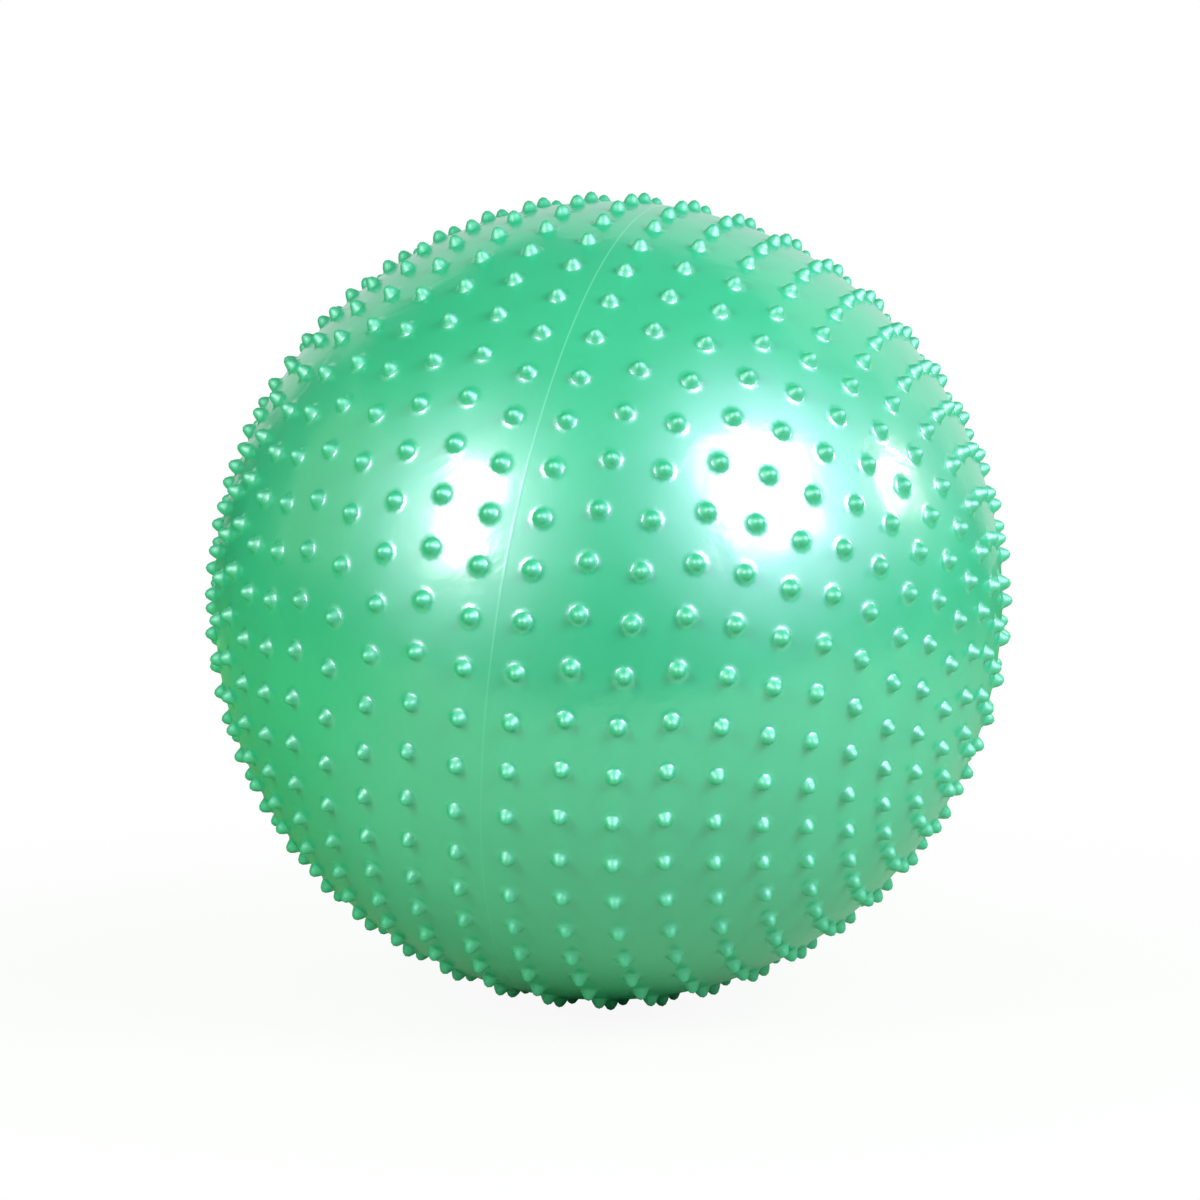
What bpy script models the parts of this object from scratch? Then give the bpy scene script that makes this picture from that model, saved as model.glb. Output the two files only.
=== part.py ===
"""Inflatable massage ball: a spiked vinyl skin with a valve socket and a push-in valve plug.

Metres, +Z up. The origin is on the floor under the middle of the ball, which stands on its lowest spikes.
The ball is modelled in the frame of its mould: the pole axis along X, the parting line in the plane x = 0.
An empty then tips and turns the ball to the way it lies on the floor.
"""

import math

import bmesh
import bpy
from mathutils import Matrix, Vector

# Ball skin, as blown up
SEAM_DIAMETER = 0.650
POLE_DIAMETER = 0.640
WALL = 0.0020
AIR_SPACE_FINENESS = 4

# Massage spikes: soft cones that belong to the skin
SPIKE_HEIGHT = 0.0098
SPIKE_BASE_DIAMETER = 0.0165
SPIKE_SIDES = 4

# Rings of spikes in each half of the mould, counted from the parting line to the pole
SPIKES_IN_RING = (52, 50, 49, 46, 44, 42, 38, 34, 30, 24, 18, 12, 6)
# Rings at the parting line are this share wider apart than the mean, and those at the pole closer
RING_SPREAD = 0.10
# Degrees from the top to the first spike of the first ring, and from each ring's first spike to the next ring's
PLAIN_HALF_START = -3.7
PLAIN_HALF_TWIST = 80.75
VALVE_HALF_START = -3.1
VALVE_HALF_TWIST = 60.1

# How the ball lies: the plain pole dips below level and is turned towards -Y, in degrees
POLE_DIP = 8.0
POLE_TURN = 15.5
# Depth by which the weight of the ball presses its lowest spikes flat
FLOOR_SQUASH = 0.0026

# Valve socket: a flanged tube bonded into a hole at the valve pole
LAND_RADIUS = 0.0170
FLANGE_RADIUS = 0.0140
FLANGE_HEIGHT = 0.0026
TUBE_WALL = 0.0024
TUBE_DEPTH = 0.0220
COLLAR_RADIUS = 0.0095
COLLAR_HEIGHT = 0.0016
RECESS_DEPTH = 0.0014

# Valve plug: a hard stopper with a flat head and ring barbs on a tapered stem
HEAD_RADIUS = 0.0085
HEAD_HEIGHT = 0.0024
HEAD_EDGE = 0.0006
BARB_RADIUS = 0.0040
BARB_COUNT = 3
BARB_PITCH = 0.0050
BARB_HEIGHT = 0.0018
STEM_RADIUS = 0.0033
STEM_LENGTH = 0.0210
STEM_NOSE_RADIUS = 0.0020
STEM_NOSE_LENGTH = 0.0030

# Clearances
SEAT_GAP = 0.0003
PLUG_CLEARANCE = 0.0003

# Fineness of the turned pieces, and how far a cutter runs past what it cuts
TURN_STEPS = 24
CUTTER_MARGIN = 0.010

# Colours (linear RGB), roughness and metallic value
SKIN_FINISH = ((0.075, 0.560, 0.300, 1.0), 0.28, 0.25)
SOCKET_FINISH = ((0.060, 0.420, 0.230, 1.0), 0.42, 0.0)
PLUG_FINISH = ((0.780, 0.790, 0.760, 1.0), 0.35, 0.0)

# Sizes that follow from the ones above
SEAM_RADIUS = SEAM_DIAMETER / 2
POLE_RADIUS = POLE_DIAMETER / 2
SPIKE_BASE_RADIUS = SPIKE_BASE_DIAMETER / 2
CENTRE_HEIGHT = SEAM_RADIUS + SPIKE_HEIGHT - FLOOR_SQUASH
LAND_HEIGHT = POLE_RADIUS * math.sqrt(1 - (LAND_RADIUS / SEAM_RADIUS) ** 2)
BORE_RADIUS = BARB_RADIUS + PLUG_CLEARANCE
TUBE_RADIUS = BORE_RADIUS + TUBE_WALL
HOLE_RADIUS = TUBE_RADIUS + SEAT_GAP
# An icosphere's faces sink below the sphere through its corners, which are this many degrees apart
AIR_SPACE_STEP = 63.4 / 2 ** (AIR_SPACE_FINENESS - 1)
AIR_SAG = SEAM_RADIUS * (1 - math.cos(math.radians(AIR_SPACE_STEP) / math.sqrt(3)))


def skin_point(latitude, longitude):
    """A point of the skin, from its angles to the parting line and, about the pole axis, to the top."""
    ring = SEAM_RADIUS * math.cos(latitude)
    height = POLE_RADIUS * math.sin(latitude)
    return Vector((height, -ring * math.sin(longitude), ring * math.cos(longitude)))


def on_skin(point):
    """Move a point near the skin along its own ray onto the skin."""
    reach = Vector((point.x / POLE_RADIUS, point.y / SEAM_RADIUS, point.z / SEAM_RADIUS))
    return point / reach.length


def ring_latitude(ring):
    """Latitude of a ring, where ring 0 is the first beside the parting line."""
    share = (ring + 0.5) / (len(SPIKES_IN_RING) + 0.5)
    return math.radians(90) * share * (1 + RING_SPREAD * (1 - share))


def half_of_spikes(side, start, twist):
    """Places of the spikes in one half of the mould: side is 1 for the plain half, -1 for the valve half."""
    places = []
    for ring, count in enumerate(SPIKES_IN_RING):
        first = math.radians(start + twist * ring)
        for step in range(count):
            places.append(skin_point(side * ring_latitude(ring), first + step * math.tau / count))
    return places


def spike_places():
    """All the spikes: two halves of rings, and one spike on the pole that has no valve."""
    plain_half = half_of_spikes(1, PLAIN_HALF_START, PLAIN_HALF_TWIST)
    valve_half = half_of_spikes(-1, VALVE_HALF_START, VALVE_HALF_TWIST)
    return plain_half + valve_half + [Vector((POLE_RADIUS, 0, 0))]


def circle_on_skin(centre, radius, count):
    """Points of a circle about the ray through centre, laid on the skin."""
    upright = Vector((0, 0, 1)) if abs(centre.x) > abs(centre.z) else Vector((1, 0, 0))
    side = centre.cross(upright).normalized()
    other = centre.cross(side).normalized()
    points = []
    for step in range(count):
        angle = step * math.tau / count
        points.append(on_skin(centre + radius * (math.cos(angle) * side + math.sin(angle) * other)))
    return points


def make_material(name, finish):
    """A plain Principled material."""
    colour, roughness, metallic = finish
    material = bpy.data.materials.new(name)
    material.use_nodes = True
    shader = material.node_tree.nodes["Principled BSDF"]
    shader.inputs["Base Color"].default_value = colour
    shader.inputs["Roughness"].default_value = roughness
    shader.inputs["Metallic"].default_value = metallic
    material.diffuse_color = colour
    return material


def make_object(name, mesh, collection, parent=None):
    """Put a mesh into the scene as an object of one collection."""
    piece = bpy.data.objects.new(name, mesh)
    piece.parent = parent
    collection.objects.link(piece)
    return piece


def mesh_from(bm, name):
    """Turn a finished bmesh into a mesh."""
    bmesh.ops.recalc_face_normals(bm, faces=bm.faces)
    mesh = bpy.data.meshes.new(name)
    bm.to_mesh(mesh)
    bm.free()
    return mesh


def make_cutter(name, bm, parent=None):
    """An object that only cuts others."""
    cutter = make_object(name, mesh_from(bm, name), cutters, parent)
    cutter.hide_render = True
    cutter.display_type = "WIRE"
    return cutter


def cut(piece, cutter):
    """Take a cutter out of a piece."""
    boolean = piece.modifiers.new(cutter.name, "BOOLEAN")
    boolean.operation = "DIFFERENCE"
    boolean.object = cutter


def make_skin(parent):
    """The skin: a hull over the rims of all spikes, with each rim drawn out to a cone, then hollowed."""
    bm = bmesh.new()
    owner = bm.verts.layers.int.new("spike")
    for number, place in enumerate(spike_places(), start=1):
        for point in circle_on_skin(place, SPIKE_BASE_RADIUS, SPIKE_SIDES):
            bm.verts.new(point)[owner] = number
    for point in circle_on_skin(Vector((-POLE_RADIUS, 0, 0)), LAND_RADIUS, TURN_STEPS):
        bm.verts.new(point)
    bmesh.ops.convex_hull(bm, input=bm.verts)

    rims = []
    for face in bm.faces:
        owners = {vert[owner] for vert in face.verts}
        if len(owners) == 1 and owners != {0}:
            rims.append(face)
    bases = bmesh.ops.dissolve_faces(bm, faces=rims)["region"]
    rim_sink = SEAM_RADIUS - math.sqrt(SEAM_RADIUS ** 2 - SPIKE_BASE_RADIUS ** 2)
    bmesh.ops.poke(bm, faces=bases, offset=SPIKE_HEIGHT + rim_sink)

    skin = make_object("ball_skin", mesh_from(bm, "ball_skin"), parts, parent)
    cut(skin, make_air_space(parent))
    cut(skin, make_valve_hole(parent))
    cut(skin, make_floor())
    skin.data.materials.append(make_material("pearl_vinyl", SKIN_FINISH))
    return skin


def make_air_space(parent):
    """The hollow inside the skin."""
    bm = bmesh.new()
    bmesh.ops.create_icosphere(bm, subdivisions=AIR_SPACE_FINENESS, radius=1.0)
    size = Vector((POLE_RADIUS - WALL, SEAM_RADIUS - WALL, SEAM_RADIUS - WALL))
    bmesh.ops.scale(bm, vec=size, verts=bm.verts)
    return make_cutter("air_space", bm, parent)


def make_valve_hole(parent):
    """A round hole through the skin at the valve pole."""
    length = WALL + AIR_SAG + 2 * CUTTER_MARGIN
    middle = -(LAND_HEIGHT + CUTTER_MARGIN - length / 2)
    place = Matrix.Translation((middle, 0, 0)) @ Matrix.Rotation(math.radians(90), 4, "Y")
    bm = bmesh.new()
    bmesh.ops.create_cone(bm, cap_ends=True, segments=TURN_STEPS, radius1=HOLE_RADIUS, radius2=HOLE_RADIUS,
                          depth=length, matrix=place)
    return make_cutter("valve_hole", bm, parent)


def make_floor():
    """The floor, which presses the lowest spikes flat at z = 0."""
    depth = FLOOR_SQUASH + CUTTER_MARGIN
    size = Matrix.Diagonal((SEAM_DIAMETER, SEAM_DIAMETER, depth, 1))
    bm = bmesh.new()
    bmesh.ops.create_cube(bm, size=1.0, matrix=Matrix.Translation((0, 0, -depth / 2)) @ size)
    return make_cutter("floor", bm)


def make_turned(name, outline, closed, parent, finish):
    """A turned piece: an outline of (radius, height), listed down its outer side, spun about Z."""
    bm = bmesh.new()
    corners = [bm.verts.new((radius, 0, height)) for radius, height in outline]
    for first, second in zip(corners, corners[1:]):
        bm.edges.new((first, second))
    if closed:
        bm.edges.new((corners[-1], corners[0]))
    mesh = bpy.data.meshes.new(name)
    bm.to_mesh(mesh)
    bm.free()
    piece = make_object(name, mesh, parts, parent)
    spin = piece.modifiers.new("spin", "SCREW")
    spin.axis = "Z"
    spin.steps = TURN_STEPS
    spin.render_steps = TURN_STEPS
    spin.use_merge_vertices = True
    spin.merge_threshold = 0.00001
    spin.use_smooth_shade = True
    mesh.materials.append(make_material(name + "_vinyl", finish))
    return piece


def make_valve_insert(parent):
    """The socket: a flange on the skin's flat land, a tube through the hole, and a collar behind the wall."""
    flange_foot = SEAT_GAP
    flange_top = flange_foot + FLANGE_HEIGHT
    recess_floor = flange_top - RECESS_DEPTH
    recess_radius = HEAD_RADIUS + PLUG_CLEARANCE
    collar_dip = COLLAR_RADIUS ** 2 / SEAM_DIAMETER
    collar_top = POLE_RADIUS - LAND_HEIGHT - WALL - AIR_SAG - collar_dip - SEAT_GAP
    collar_foot = collar_top - COLLAR_HEIGHT
    outline = [
        (recess_radius, flange_top),
        (FLANGE_RADIUS - FLANGE_HEIGHT / 2, flange_top),
        (FLANGE_RADIUS, flange_foot + FLANGE_HEIGHT / 3),
        (FLANGE_RADIUS, flange_foot),
        (TUBE_RADIUS, flange_foot),
        (TUBE_RADIUS, collar_top),
        (COLLAR_RADIUS, collar_top),
        (TUBE_RADIUS, collar_foot),
        (TUBE_RADIUS, -TUBE_DEPTH),
        (BORE_RADIUS, -TUBE_DEPTH),
        (BORE_RADIUS, recess_floor),
        (recess_radius, recess_floor),
    ]
    return make_turned("valve_insert", outline, True, parent, SOCKET_FINISH)


def make_valve_plug(parent):
    """The stopper: a flat head in the socket's recess, ring barbs down the stem, and a blunt nose."""
    head_foot = FLANGE_HEIGHT - RECESS_DEPTH + 2 * SEAT_GAP
    head_top = head_foot + HEAD_HEIGHT
    outline = [
        (0, head_top),
        (HEAD_RADIUS - HEAD_EDGE, head_top),
        (HEAD_RADIUS, head_top - HEAD_EDGE),
        (HEAD_RADIUS, head_foot),
        (STEM_RADIUS, head_foot),
    ]
    for barb in range(BARB_COUNT):
        barb_top = head_foot - BARB_PITCH * (barb + 0.5)
        outline += [(STEM_RADIUS, barb_top), (BARB_RADIUS, barb_top), (STEM_RADIUS, barb_top - BARB_HEIGHT)]
    outline += [
        (STEM_RADIUS, head_foot - STEM_LENGTH + STEM_NOSE_LENGTH),
        (STEM_NOSE_RADIUS, head_foot - STEM_LENGTH),
        (0, head_foot - STEM_LENGTH),
    ]
    return make_turned("valve_plug", outline, False, parent, PLUG_FINISH)


def make_empty(name, location, turns, parent=None):
    """An empty that carries other objects, turned by degrees about X, Y and Z."""
    empty = make_object(name, None, parts, parent)
    empty.location = location
    empty.rotation_euler = [math.radians(turn) for turn in turns]
    return empty


for leftover in list(bpy.data.objects):
    bpy.data.objects.remove(leftover)

parts = bpy.data.collections.new("massage_ball")
cutters = bpy.data.collections.new("cutters")
bpy.context.scene.collection.children.link(parts)
bpy.context.scene.collection.children.link(cutters)

ball_frame = make_empty("ball_frame", (0, 0, CENTRE_HEIGHT), (0, POLE_DIP, -POLE_TURN))
valve_frame = make_empty("valve_frame", (-LAND_HEIGHT, 0, 0), (0, -90, 0), ball_frame)
make_skin(ball_frame)
make_valve_insert(valve_frame)
make_valve_plug(valve_frame)
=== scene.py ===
"""Looks of the massage ball: a spiked pearl vinyl skin, its valve socket and plug, on a pale studio floor."""

import math

import bpy
import numpy as np
from mathutils import Euler, Matrix, Vector, geometry, kdtree


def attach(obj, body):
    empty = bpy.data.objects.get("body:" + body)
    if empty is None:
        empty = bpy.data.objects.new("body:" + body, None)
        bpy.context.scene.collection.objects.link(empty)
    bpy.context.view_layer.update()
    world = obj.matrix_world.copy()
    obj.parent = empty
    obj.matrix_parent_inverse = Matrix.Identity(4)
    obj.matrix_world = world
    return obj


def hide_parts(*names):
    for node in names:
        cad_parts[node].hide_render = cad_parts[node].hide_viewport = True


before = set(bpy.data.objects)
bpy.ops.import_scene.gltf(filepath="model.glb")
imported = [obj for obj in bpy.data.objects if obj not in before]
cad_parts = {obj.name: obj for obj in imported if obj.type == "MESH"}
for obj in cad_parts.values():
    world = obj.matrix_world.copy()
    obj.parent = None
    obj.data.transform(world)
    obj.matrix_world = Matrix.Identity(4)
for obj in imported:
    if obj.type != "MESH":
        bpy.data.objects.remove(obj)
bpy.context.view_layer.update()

# Ball skin: one rotationally moulded piece of soft vinyl, a millimetre or two thick, with blunt spikes in
# rings about the pole axis, and a thin raised line round it where the two halves of the mould met.
# Each half is a net of triangles round the rims of its spikes, and the rims are then drawn out to spikes.
seam_radius = 0.325
pole_radius = 0.320
wall = 0.0020
spike_height = 0.0088
spikes_in_ring = (52, 50, 49, 46, 44, 42, 38, 34, 30, 24, 18, 12, 6)
ring_spread = 0.10
# Side of the parting line, degrees of the first spike of the first ring, and degrees of turn from ring to ring
plain_half = (1, -3.7, 80.75)
valve_half = (-1, -3.1, 60.1)
rim_radius = 0.0135
rim_sides = 10
# Radius and height of each further step of a spike, from the level skin up its flared foot to its round tip
spike_steps = ((0.0114, 0.0001), (0.0083, 0.0004), (0.0065, 0.0015), (0.0050, 0.0047), (0.0029, 0.0076))
ridge_half_width = 0.0024
# Step inwards and upwards of the ridge's foot and of its top
ridge_steps = ((0.0016, 0.0), (0.0005, 0.00004))
ridge_points = 300
land_radius = 0.0170
hole_radius = 0.0070
hole_sides = 48
inner_rings = 24
# Halvings of the even net between the spikes, and how far it keeps from their rims and from the ridge
net_fineness = 6
clear_of_rim = 0.0040
clear_of_ridge = 0.0035
# The ball stands on its lowest spikes, which its weight presses flat, with its pole axis dipped and turned
floor_squash = 0.0016
pole_dip = math.radians(8.0)
pole_turn = math.radians(-15.5)
centre = Vector((0, 0, seam_radius + spike_height - floor_squash))
ball_turn = Euler((0, pole_dip, pole_turn)).to_matrix().to_4x4()
ball_place = Matrix.Translation(centre) @ ball_turn
SPIKE, RIDGE, LAND = 1, 2, 3


def skin_point(latitude, longitude):
    """A point of the skin in the mould's frame, with the pole axis along X and the parting line at x = 0."""
    ring = seam_radius * math.cos(latitude)
    return Vector((pole_radius * math.sin(latitude), -ring * math.sin(longitude), ring * math.cos(longitude)))


def half_of_spikes(side, start, twist):
    """Places of the spikes in one half of the mould, ring by ring from the parting line."""
    places = []
    for ring, count in enumerate(spikes_in_ring):
        share = (ring + 0.5) / (len(spikes_in_ring) + 0.5)
        latitude = side * math.pi / 2 * share * (1 + ring_spread * (1 - share))
        first = math.radians(start + twist * ring)
        places += [skin_point(latitude, first + step * math.tau / count) for step in range(count)]
    return places


def on_unit_ball(point):
    """A point of the mould's frame, scaled so that the skin becomes a ball of radius 1."""
    return Vector((point.x / pole_radius, point.y / seam_radius, point.z / seam_radius))


def circle_on_skin(middle, radius, count):
    """Points of a circle about the ray through middle, laid on the skin."""
    upright = Vector((0, 0, 1)) if abs(middle.x) > abs(middle.z) else Vector((1, 0, 0))
    across = middle.cross(upright).normalized()
    along = middle.cross(across).normalized()
    points = []
    for step in range(count):
        angle = step * math.tau / count
        point = middle + radius * (math.cos(angle) * across + math.sin(angle) * along)
        points.append(point / on_unit_ball(point).length)
    return points


def half_of_net(side, net_points, rims):
    """Triangles of one half between its points, kept clear of the rims, which come out as one face each."""
    flat = []
    for point in net_points:
        reach = on_unit_ball(point)
        flat.append(Vector((reach.y, reach.z)) / (1 + side * reach.x))
    ordered = []
    for rim in rims:
        turning = sum(flat[a].cross(flat[b]) for a, b in zip(rim, rim[1:] + rim[:1]))
        ordered.append(rim if turning > 0 else rim[::-1])
    _, _, cells, sources, _, covers = geometry.delaunay_2d_cdt(flat, [], ordered, 0, 1e-7)
    faces = [[sources[corner][0] for corner in cell] for cell, cover in zip(cells, covers) if not cover]
    faces += ordered
    return faces if side > 0 else [face[::-1] for face in faces]


def select_only(piece):
    """Make one object the only selected and active one."""
    bpy.ops.object.select_all(action="DESELECT")
    piece.select_set(True)
    bpy.context.view_layer.objects.active = piece


def edit_faces(piece, chosen):
    """Go into edit mode with only the chosen faces selected."""
    select_only(piece)
    mesh = piece.data
    mesh.vertices.foreach_set("select", np.zeros(len(mesh.vertices), bool))
    mesh.edges.foreach_set("select", np.zeros(len(mesh.edges), bool))
    mesh.polygons.foreach_set("select", np.asarray(chosen, bool))
    bpy.context.tool_settings.mesh_select_mode = (False, False, True)
    bpy.ops.object.mode_set(mode="EDIT")


def faces_of_kind(piece, kind):
    """Which faces of a piece carry a kind."""
    kinds = np.zeros(len(piece.data.polygons), np.int32)
    piece.data.attributes["kind"].data.foreach_get("value", kinds)
    return kinds == kind


bpy.ops.object.select_all(action="DESELECT")
bpy.ops.mesh.primitive_ico_sphere_add(subdivisions=net_fineness, radius=1.0)
even_ball = bpy.context.object
bpy.ops.object.mode_set(mode="EDIT")
bpy.ops.transform.resize(value=(pole_radius, seam_radius, seam_radius))
bpy.ops.object.mode_set(mode="OBJECT")
even_points = [vert.co.copy() for vert in even_ball.data.vertices]
bpy.data.objects.remove(even_ball)

valve_pole = Vector((-pole_radius, 0, 0))
points, faces, kinds = [], [], []
for side, start, twist in (plain_half, valve_half):
    places = half_of_spikes(side, start, twist)
    if side > 0:
        places.append(Vector((pole_radius, 0, 0)))
    near_spike = kdtree.KDTree(len(places))
    for number, place in enumerate(places):
        near_spike.insert(place, number)
    near_spike.balance()
    latitude = math.asin(side * ridge_half_width / pole_radius)
    net = [skin_point(latitude, step * math.tau / ridge_points) for step in range(ridge_points)]
    rims = []
    for place in places:
        rims.append(list(range(len(net), len(net) + rim_sides)))
        net += circle_on_skin(place, rim_radius, rim_sides)
    rim_kinds = [SPIKE] * len(rims)
    if side < 0:
        rims.append(list(range(len(net), len(net) + hole_sides)))
        net += circle_on_skin(valve_pole, land_radius, hole_sides)
        rim_kinds.append(LAND)
    for point in even_points:
        bare = near_spike.find(point)[2] > rim_radius + clear_of_rim
        bare = bare and (point - valve_pole).length > land_radius + clear_of_rim
        if bare and side * point.x > ridge_half_width + clear_of_ridge:
            net.append(point)
    half_faces = half_of_net(side, net, rims)
    kinds += [0] * (len(half_faces) - len(rims)) + rim_kinds
    faces += [[corner + len(points) for corner in face] for face in half_faces]
    valve_ring = len(points)
    points += net
for step in range(ridge_points):
    after = (step + 1) % ridge_points
    faces.append([valve_ring + step, valve_ring + after, after, step])
    kinds.append(RIDGE)
mesh = bpy.data.meshes.new("skin")
mesh.from_pydata(points, [], faces)
mesh.attributes.new("kind", "INT", "FACE").data.foreach_set("value", np.array(kinds, np.int32))
skin = bpy.data.objects.new("skin", mesh)
bpy.context.scene.collection.objects.link(skin)

# Draw every rim out to a spike: step its face in and up, and close it with a round tip
edit_faces(skin, faces_of_kind(skin, SPIKE))
flat_share = math.cos(math.pi / rim_sides)
radius, height = rim_radius, 0.0
for next_radius, next_height in spike_steps:
    bpy.ops.mesh.inset(use_individual=True, thickness=(radius - next_radius) * flat_share,
                       depth=next_height - height)
    radius, height = next_radius, next_height
bpy.ops.mesh.poke(offset=spike_height - height)
bpy.ops.object.mode_set(mode="OBJECT")

# Raise the parting line, and open the valve hole in its flat land
edit_faces(skin, faces_of_kind(skin, RIDGE))
for step_in, step_up in ridge_steps:
    bpy.ops.mesh.inset(thickness=step_in, depth=step_up)
bpy.ops.object.mode_set(mode="OBJECT")
edit_faces(skin, faces_of_kind(skin, LAND))
bpy.ops.mesh.inset(thickness=(land_radius - hole_radius) * math.cos(math.pi / hole_sides), depth=0.0)
bpy.ops.mesh.delete(type="FACE")
bpy.ops.object.mode_set(mode="OBJECT")

# The inner face of the wall, opened at the valve pole and joined to the outer one through the hole
inner_pole_radius = pole_radius - wall
inner_seam_radius = seam_radius - wall
at_the_pole = 1e-5
bpy.ops.object.select_all(action="DESELECT")
bpy.ops.mesh.primitive_uv_sphere_add(segments=hole_sides, ring_count=inner_rings, radius=1.0)
inside = bpy.context.object
bpy.ops.object.mode_set(mode="EDIT")
bpy.ops.mesh.select_all(action="SELECT")
bpy.ops.transform.rotate(value=math.pi / 2, orient_axis="Y", center_override=(0, 0, 0))
bpy.ops.transform.resize(value=(inner_pole_radius, inner_seam_radius, inner_seam_radius))
bpy.ops.mesh.normals_make_consistent(inside=True)
bpy.ops.object.mode_set(mode="OBJECT")
corners = inside.data.vertices
edit_faces(inside, [min(corners[corner].co.x for corner in face.vertices) < at_the_pole - inner_pole_radius
                    for face in inside.data.polygons])
bpy.ops.mesh.inset(thickness=0.0)
opening = math.sin(math.pi / inner_rings) * inner_seam_radius
drop = inner_pole_radius * (math.sqrt(1 - (hole_radius / inner_seam_radius) ** 2)
                            - math.cos(math.pi / inner_rings))
bpy.ops.transform.resize(value=(1, hole_radius / opening, hole_radius / opening), center_override=(0, 0, 0))
bpy.ops.transform.translate(value=(-drop, 0, 0))
bpy.ops.mesh.delete(type="FACE")
bpy.ops.object.mode_set(mode="OBJECT")
select_only(skin)
inside.select_set(True)
bpy.ops.object.join()
bpy.ops.object.mode_set(mode="EDIT")
bpy.ops.mesh.select_mode(type="EDGE")
bpy.ops.mesh.select_all(action="DESELECT")
bpy.ops.mesh.select_non_manifold()
bpy.ops.mesh.bridge_edge_loops()
bpy.ops.object.mode_set(mode="OBJECT")

# Lay the ball as it lies on the floor, and press its lowest spikes flat there
smooth_skin_angle = math.radians(58)
skin.matrix_world = ball_place
bpy.ops.object.transform_apply(location=True, rotation=True, scale=True)
edit_faces(skin, np.ones(len(skin.data.polygons), bool))
bpy.ops.mesh.bisect(plane_co=(0, 0, 0), plane_no=(0, 0, 1), clear_inner=True, use_fill=True, threshold=1e-6)
bpy.ops.object.mode_set(mode="OBJECT")
skin.data.attributes.remove(skin.data.attributes["kind"])
select_only(skin)
bpy.ops.object.shade_smooth_by_angle(angle=smooth_skin_angle)


def ramp(tree, measure, start, end, start_value=0.0, end_value=1.0):
    """A node that goes from one value to another while a measure goes from start to end."""
    node = tree.nodes.new("ShaderNodeMapRange")
    node.inputs["From Min"].default_value = start
    node.inputs["From Max"].default_value = end
    node.inputs["To Min"].default_value = start_value
    node.inputs["To Max"].default_value = end_value
    tree.links.new(measure, node.inputs["Value"])
    return node


def colour_blend(tree, share, first, second):
    """A node that blends a first colour, plain or from another node, into a second one."""
    node = tree.nodes.new("ShaderNodeMix")
    node.data_type = "RGBA"
    if isinstance(first, tuple):
        node.inputs["A"].default_value = (*first, 1.0)
    else:
        tree.links.new(first, node.inputs["A"])
    node.inputs["B"].default_value = (*second, 1.0)
    tree.links.new(share, node.inputs["Factor"])
    return node


# Pearl vinyl: green under a glossy coat, mixed with fine flakes that give the broad sheen
pearl = bpy.data.materials.new("pearl_vinyl")
pearl.use_nodes = True
nodes, links = pearl.node_tree.nodes, pearl.node_tree.links
vinyl = nodes["Principled BSDF"]
vinyl.inputs["Roughness"].default_value = 0.50
vinyl.inputs["Specular IOR Level"].default_value = 0.0
vinyl.inputs["Coat IOR"].default_value = 1.80
flakes = nodes.new("ShaderNodeBsdfAnisotropic")
flakes.distribution = "BECKMANN"
pearly = nodes.new("ShaderNodeMixShader")
place = nodes.new("ShaderNodeTexCoord")
clouds = nodes.new("ShaderNodeTexNoise")
clouds.inputs["Scale"].default_value = 14.0
clouds.inputs["Detail"].default_value = 4.0
clouds.inputs["Distortion"].default_value = 0.7
links.new(place.outputs["Object"], clouds.inputs["Vector"])

# How far a point lies from the ball's centre, with the flatter poles evened out, tells spikes from plain skin
spike_foot = 0.0003
spike_body = 0.0024
from_centre = nodes.new("ShaderNodeVectorMath")
from_centre.operation = "SUBTRACT"
from_centre.inputs[1].default_value = centre
links.new(place.outputs["Object"], from_centre.inputs[0])
along_pole = nodes.new("ShaderNodeVectorMath")
along_pole.operation = "DOT_PRODUCT"
along_pole.inputs[1].default_value = ball_turn.to_3x3().col[0]
links.new(from_centre.outputs["Vector"], along_pole.inputs[0])
reach = nodes.new("ShaderNodeVectorMath")
reach.operation = "LENGTH"
links.new(from_centre.outputs["Vector"], reach.inputs[0])
to_pole = nodes.new("ShaderNodeMath")
to_pole.operation = "DIVIDE"
links.new(along_pole.outputs["Value"], to_pole.inputs[0])
links.new(reach.outputs["Value"], to_pole.inputs[1])
flattening = nodes.new("ShaderNodeMath")
flattening.operation = "MULTIPLY"
links.new(to_pole.outputs["Value"], flattening.inputs[0])
links.new(to_pole.outputs["Value"], flattening.inputs[1])
round_reach = nodes.new("ShaderNodeMath")
round_reach.operation = "MULTIPLY_ADD"
round_reach.inputs[1].default_value = seam_radius - pole_radius
links.new(flattening.outputs["Value"], round_reach.inputs[0])
links.new(reach.outputs["Value"], round_reach.inputs[2])
on_spike = ramp(pearl.node_tree, round_reach.outputs["Value"],
                seam_radius + spike_foot, seam_radius + spike_body)
for finish, skin_value, spike_value in (
        (pearly.inputs["Fac"], 0.15, 0.19),
        (flakes.inputs["Roughness"], 0.49, 0.60),
        (vinyl.inputs["Coat Weight"], 0.80, 0.60),
        (vinyl.inputs["Coat Roughness"], 0.21, 0.41)):
    blend = ramp(pearl.node_tree, on_spike.outputs["Result"], 0.0, 1.0, skin_value, spike_value)
    links.new(blend.outputs["Result"], finish)
sheen = colour_blend(pearl.node_tree, on_spike.outputs["Result"], (0.49, 0.60, 0.82), (0.38, 0.80, 0.78))
links.new(sheen.outputs["Result"], flakes.inputs["Color"])

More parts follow.
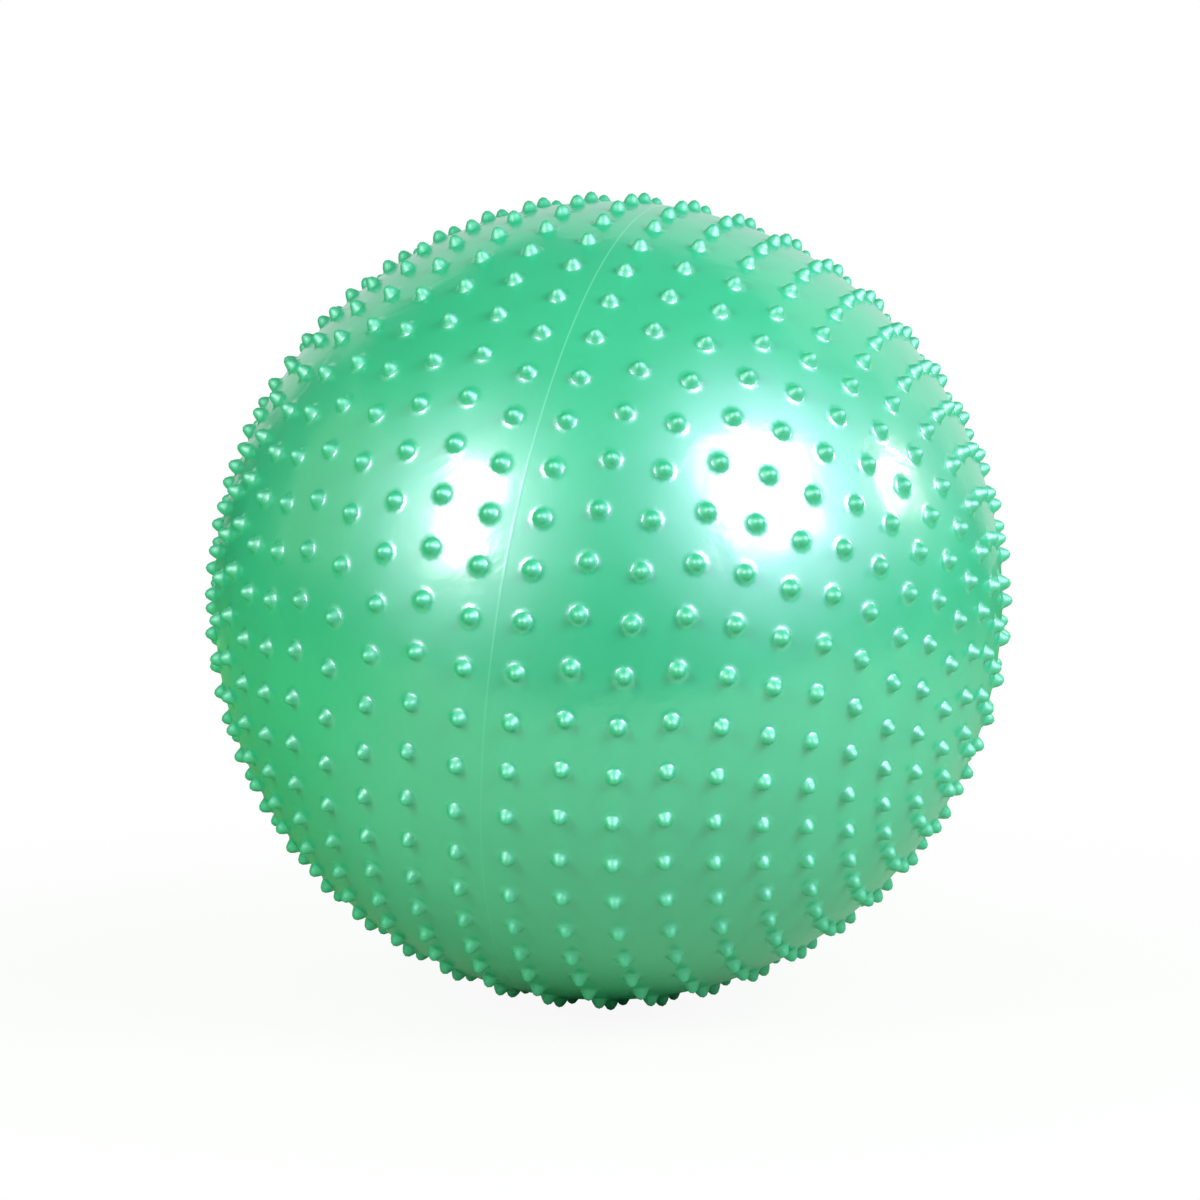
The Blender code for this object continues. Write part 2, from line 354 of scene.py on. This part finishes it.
# The parting line is painted paler than the skin, a painted highlight of the raised line, strong on the upper
# half and faint on the lower half
line_core = 0.0002
line_edge = 0.0009
highlight_faint_below = 0.20
highlight_full_above = 0.40
from_line = nodes.new("ShaderNodeMath")
from_line.operation = "ABSOLUTE"
links.new(along_pole.outputs["Value"], from_line.inputs[0])
line = ramp(pearl.node_tree, from_line.outputs["Value"], line_core, line_edge, end_value=0.0)
height = nodes.new("ShaderNodeSeparateXYZ")
links.new(place.outputs["Object"], height.inputs["Vector"])
# Painted highlight: the paler line fades from the upper half of the ball to the lower half
line_highlight_fade = ramp(pearl.node_tree, height.outputs["Z"], highlight_faint_below, highlight_full_above, 0.05, 0.17)
links.new(line_highlight_fade.outputs["Result"], line.inputs["To Min"])
mottling = colour_blend(pearl.node_tree, clouds.outputs["Fac"],
                        (0.0125, 0.280, 0.128), (0.0155, 0.350, 0.162))
line_highlight = colour_blend(pearl.node_tree, line.outputs["Result"], mottling.outputs["Result"], (0.30, 0.78, 0.52))
links.new(line_highlight.outputs["Result"], vinyl.inputs["Base Color"])
ripples = nodes.new("ShaderNodeBump")
ripples.inputs["Strength"].default_value = 0.13
ripples.inputs["Distance"].default_value = 0.01
links.new(clouds.outputs["Fac"], ripples.inputs["Height"])
links.new(ripples.outputs["Normal"], vinyl.inputs["Coat Normal"])
links.new(vinyl.outputs["BSDF"], pearly.inputs[1])
links.new(flakes.outputs["BSDF"], pearly.inputs[2])
links.new(pearly.outputs["Shader"], nodes["Material Output"].inputs["Surface"])
skin.data.materials.append(pearl)
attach(skin, "ball")
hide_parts("ball_skin")

# Valve socket: a soft vinyl tube bonded into the hole of the skin, with a round flange on the flat land
# outside, a cup for the plug's head and a lip that holds it behind the wall.
# Heights are from the flat land outwards.
land_height = pole_radius * math.sqrt(1 - (land_radius / seam_radius) ** 2)
valve_place = ball_place @ Matrix.Translation((-land_height, 0, 0)) @ Matrix.Rotation(-math.pi / 2, 4, "Y")
seat_gap = 0.0003
flange_radius, flange_edge = 0.0140, 0.00117
flange_flat_radius, flange_top = 0.0127, 0.0029
cup_radius, cup_floor = 0.0088, 0.0015
tube_radius, tube_end = 0.0067, -0.0220
lip_radius, lip_top, lip_end = 0.0095, -0.003037, -0.004637
bore_radius = 0.0043
socket_outline = (
    (cup_radius, flange_top), (flange_flat_radius, flange_top), (flange_radius, flange_edge),
    (flange_radius, seat_gap), (tube_radius, seat_gap), (tube_radius, lip_top), (lip_radius, lip_top),
    (tube_radius, lip_end), (tube_radius, tube_end), (bore_radius, tube_end), (bore_radius, cup_floor),
    (cup_radius, cup_floor),
)
socket_rounding = 0.00025
turning_steps = 48
rounding_steps = 3
smooth_turned_angle = math.radians(40)


def turned_piece(name, outline, closed, rounding):
    """A piece turned about the valve's axis from an outline of radii and heights, with rounded corners."""
    edges = [(corner, corner + 1) for corner in range(len(outline) - 1)]
    if closed:
        edges.append((len(outline) - 1, 0))
    mesh = bpy.data.meshes.new(name)
    mesh.from_pydata([(radius, 0, height) for radius, height in outline], edges, [])
    piece = bpy.data.objects.new(name, mesh)
    bpy.context.scene.collection.objects.link(piece)
    select_only(piece)
    bpy.context.tool_settings.mesh_select_mode = (True, False, False)
    for vertex in mesh.vertices:
        vertex.select = vertex.co.x > 0
    bpy.ops.object.mode_set(mode="EDIT")
    bpy.ops.mesh.bevel(offset=rounding, segments=rounding_steps, affect="VERTICES")
    bpy.ops.mesh.select_all(action="SELECT")
    bpy.ops.mesh.spin(steps=turning_steps, angle=math.tau, center=(0, 0, 0), axis=(0, 0, 1))
    bpy.ops.mesh.select_all(action="SELECT")
    bpy.ops.mesh.remove_doubles(threshold=1e-6)
    bpy.ops.mesh.normals_make_consistent(inside=False)
    bpy.ops.object.mode_set(mode="OBJECT")
    piece.matrix_world = valve_place
    bpy.ops.object.transform_apply(location=True, rotation=True, scale=True)
    bpy.ops.object.shade_smooth_by_angle(angle=smooth_turned_angle)
    return piece


insert = turned_piece("insert", socket_outline, closed=True, rounding=socket_rounding)
socket_vinyl = bpy.data.materials.new("socket_vinyl")
socket_vinyl.use_nodes = True
satin = socket_vinyl.node_tree.nodes["Principled BSDF"]
satin.inputs["Base Color"].default_value = (0.020, 0.300, 0.110, 1.0)
satin.inputs["Roughness"].default_value = 0.42
insert.data.materials.append(socket_vinyl)
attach(insert, "ball")
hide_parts("valve_insert")

# Valve plug: a hard off-white stopper pushed into the socket. Its flat head lies in the cup, with a rim to
# pull by, and three ring barbs on its shank grip the bore. Heights are from the flat land, as on the socket.
head_flat_radius, head_top = 0.0079, 0.0042
head_radius, head_edge, head_under = 0.0085, 0.0036, 0.0018
shank_radius = 0.0033
barbs, barb_radius, barb_pitch, barb_length = 3, 0.0040, 0.005, 0.0018
nose_start, nose_radius, nose_end = -0.0162, 0.0020, -0.0192
plug_rounding = 0.0002
plug_outline = [(0.0, head_top), (head_flat_radius, head_top), (head_radius, head_edge),
                (head_radius, head_under), (shank_radius, head_under)]
for barb in range(barbs):
    barb_top = head_under - barb_pitch * (barb + 0.5)
    plug_outline += [(shank_radius, barb_top), (barb_radius, barb_top),
                     (shank_radius, barb_top - barb_length)]
plug_outline += [(shank_radius, nose_start), (nose_radius, nose_end), (0.0, nose_end)]
plug = turned_piece("plug", plug_outline, closed=False, rounding=plug_rounding)
plug_plastic = bpy.data.materials.new("plug_plastic")
plug_plastic.use_nodes = True
hard = plug_plastic.node_tree.nodes["Principled BSDF"]
hard.inputs["Base Color"].default_value = (0.72, 0.73, 0.70, 1.0)
hard.inputs["Roughness"].default_value = 0.35
plug.data.materials.append(plug_plastic)
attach(plug, "plug")
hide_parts("valve_plug")

# Floor: a pale sheet that ends in front of the ball, as a paper sweep does, so that the ball mirrors its
# edge. It is white to the camera but for the ball's shadow. To the gloss it is grey-green, with painted
# light greener near the ball and a painted shadow of the ball at the back left, away from the strongest lamp.
floor_front = -1.05
floor_back = 6.0
floor_half_width = 5.0
floor_drop = 0.0003
bpy.ops.object.select_all(action="DESELECT")
bpy.ops.mesh.primitive_plane_add(size=1.0)
floor = bpy.context.object
floor.name = "floor"
bpy.ops.object.mode_set(mode="EDIT")
bpy.ops.transform.resize(value=(2 * floor_half_width, floor_back - floor_front, 1))
bpy.ops.transform.translate(value=(0, (floor_back + floor_front) / 2, -floor_drop))
bpy.ops.object.mode_set(mode="OBJECT")
paper = bpy.data.materials.new("floor_paper")
paper.use_nodes = True
nodes, links = paper.node_tree.nodes, paper.node_tree.links
sheet = nodes["Principled BSDF"]
sheet.inputs["Roughness"].default_value = 0.9
sheet.inputs["Specular IOR Level"].default_value = 0.0
place = nodes.new("ShaderNodeTexCoord")
away = nodes.new("ShaderNodeVectorMath")
away.operation = "LENGTH"
links.new(place.outputs["Object"], away.inputs[0])
# Painted light: the floor is greener near the ball, as if lit by green light that the ball throws on it
shade = ramp(paper.node_tree, away.outputs["Value"], 0.20, 0.80)
painted_bounce = colour_blend(paper.node_tree, shade.outputs["Result"], (0.28, 0.50, 0.32), (0.34, 0.50, 0.36))
# Painted shadow: the floor is darker at the back left, where the ball's shadow from the strongest lamp falls
to_back_left = nodes.new("ShaderNodeVectorMath")
to_back_left.operation = "DOT_PRODUCT"
to_back_left.inputs[1].default_value = (-1.0, 1.0, 0.0)
links.new(place.outputs["Object"], to_back_left.inputs[0])
painted_shadow_share = ramp(paper.node_tree, to_back_left.outputs["Value"], 0.12, 0.65)
painted_shadow = colour_blend(paper.node_tree, painted_shadow_share.outputs["Result"], painted_bounce.outputs["Result"], (0.14, 0.42, 0.16))
links.new(painted_shadow.outputs["Result"], sheet.inputs["Base Color"])
camera_white = ramp(paper.node_tree, away.outputs["Value"], 0.25, 1.1, 0.93, 1.0)
ray = nodes.new("ShaderNodeLightPath")
seen = nodes.new("ShaderNodeMath")
seen.operation = "MULTIPLY"
links.new(ray.outputs["Is Camera Ray"], seen.inputs[0])
links.new(camera_white.outputs["Result"], seen.inputs[1])
glow = nodes.new("ShaderNodeEmission")
glow.inputs["Strength"].default_value = 1.0
mix = nodes.new("ShaderNodeMixShader")
links.new(seen.outputs[0], mix.inputs["Fac"])
links.new(sheet.outputs["BSDF"], mix.inputs[1])
links.new(glow.outputs["Emission"], mix.inputs[2])
links.new(mix.outputs["Shader"], nodes["Material Output"].inputs["Surface"])
floor.data.materials.append(paper)

# Studio room: the dim space overhead and behind the camera, which only the ball's gloss sees. The white
# backdrop shows through an opening behind the ball, with a sloping top and two leaning sides.
room_radius = 8.0
opening_top, top_slope, top_limit = 6.2, 0.25, 6.4
left_slope, right_slope, side_lean = 0.45, 0.80, 0.55
ceiling_start, ceiling_full = 6.2, 7.8


def in_opening(point):
    """Whether a point of the room lies in the opening to the backdrop."""
    under_top = point.z < min(opening_top + top_slope * point.x, top_limit)
    past_left = -left_slope * point.y < point.x + side_lean * point.z
    before_right = point.x < right_slope * point.y + side_lean * point.z
    return point.y > 0 and under_top and past_left and before_right


bpy.ops.object.select_all(action="DESELECT")
bpy.ops.mesh.primitive_uv_sphere_add(segments=48, ring_count=24, radius=room_radius)
room = bpy.context.object
room.name = "room"
edit_faces(room, [in_opening(face.center) for face in room.data.polygons])
bpy.ops.mesh.delete(type="FACE")
bpy.ops.object.mode_set(mode="OBJECT")
dim = bpy.data.materials.new("room_dim")
dim.use_nodes = True
nodes, links = dim.node_tree.nodes, dim.node_tree.links
nodes.clear()
dim_glow = nodes.new("ShaderNodeEmission")
place = nodes.new("ShaderNodeTexCoord")
height = nodes.new("ShaderNodeSeparateXYZ")
links.new(place.outputs["Object"], height.inputs["Vector"])
overhead = ramp(dim.node_tree, height.outputs["Z"], ceiling_start, ceiling_full)
ceiling = colour_blend(dim.node_tree, overhead.outputs["Result"], (0.03, 0.04, 0.04), (0.20, 0.14, 0.16))
links.new(ceiling.outputs["Result"], dim_glow.inputs["Color"])
dim_out = nodes.new("ShaderNodeOutputMaterial")
links.new(dim_glow.outputs["Emission"], dim_out.inputs["Surface"])
room.data.materials.append(dim)
room.visible_camera = False
room.visible_diffuse = False
room.visible_shadow = False
room.visible_transmission = False

# Lamps: soft boxes to the left, to the right and behind on the right, a dim sheet on the left and a fill
# behind, all aimed at the ball. The fill lights the back of the ball, and the gloss doesn't mirror it.
# Each has its place from the ball's centre, width, height, watts, tint, and whether the gloss mirrors it.
soft_boxes = (
    ("box_left", (-1.295, -1.455, 0.955), 0.59, 0.93, 45.5, (1.0, 1.0, 0.92), True),
    ("sheet_left", (-2.090, 0.120, 0.840), 1.35, 1.35, 3.6, (1.0, 1.0, 0.80), True),
    ("box_right", (1.475, -1.265, 1.165), 1.12, 1.09, 70.5, (1.15, 1.0, 1.16), True),
    ("box_rear", (2.065, 0.250, 0.815), 0.32, 0.30, 12.0, (1.2, 1.0, 1.0), True),
    ("fill_back", (-0.500, 2.750, 0.300), 1.50, 1.10, 38.0, (1.0, 1.0, 0.95), False),
)
for name, offset, width, height, power, tint, mirrored in soft_boxes:
    lamp_data = bpy.data.lights.new(name, "AREA")
    lamp_data.shape = "RECTANGLE"
    lamp_data.size = width
    lamp_data.size_y = height
    lamp_data.energy = power
    lamp_data.color = tint
    lamp = bpy.data.objects.new(name, lamp_data)
    bpy.context.scene.collection.objects.link(lamp)
    lamp.location = centre + Vector(offset)
    lamp.rotation_euler = (-Vector(offset)).to_track_quat("-Z", "Y").to_euler()
    lamp.visible_camera = False
    lamp.visible_glossy = mirrored

# World: even, slightly yellow light on every surface. The camera, the gloss and anything clear see it as
# plain white, which is the backdrop of the picture.
world = bpy.data.worlds.new("studio")
bpy.context.scene.world = world
world.use_nodes = True
nodes, links = world.node_tree.nodes, world.node_tree.links
soft = nodes["Background"]
soft.inputs["Color"].default_value = (0.95, 1.0, 0.80, 1.0)
soft.inputs["Strength"].default_value = 0.60
white = nodes.new("ShaderNodeBackground")
white.inputs["Color"].default_value = (1.0, 1.0, 1.0, 1.0)
ray = nodes.new("ShaderNodeLightPath")
seen = nodes.new("ShaderNodeMath")
seen.operation = "MAXIMUM"
links.new(ray.outputs["Is Camera Ray"], seen.inputs[0])
links.new(ray.outputs["Is Glossy Ray"], seen.inputs[1])
through = nodes.new("ShaderNodeMath")
through.operation = "MAXIMUM"
links.new(seen.outputs[0], through.inputs[0])
links.new(ray.outputs["Is Transmission Ray"], through.inputs[1])
mix = nodes.new("ShaderNodeMixShader")
links.new(through.outputs[0], mix.inputs["Fac"])
links.new(soft.outputs["Background"], mix.inputs[1])
links.new(white.outputs["Background"], mix.inputs[2])
links.new(mix.outputs["Shader"], nodes["World Output"].inputs["Surface"])
bpy.context.scene.view_settings.view_transform = "Standard"

# Camera: it looks at the ball almost level, from far enough for a nearly flat perspective.
# The ball stands a little to the right of the middle of the picture.
camera_rise = math.radians(6.0)
camera_distance = 3.51
camera_aim = centre + Vector((-0.0070, 0, 0.0006))
camera_data = bpy.data.cameras.new("camera")
camera_data.lens = 128.9
camera_data.sensor_width = 36.0
camera = bpy.data.objects.new("camera", camera_data)
bpy.context.scene.collection.objects.link(camera)
camera_back = Vector((0, -math.cos(camera_rise), math.sin(camera_rise)))
camera.location = camera_aim + camera_back * camera_distance
camera.rotation_euler = (-camera_back).to_track_quat("-Z", "Y").to_euler()
bpy.context.scene.camera = camera
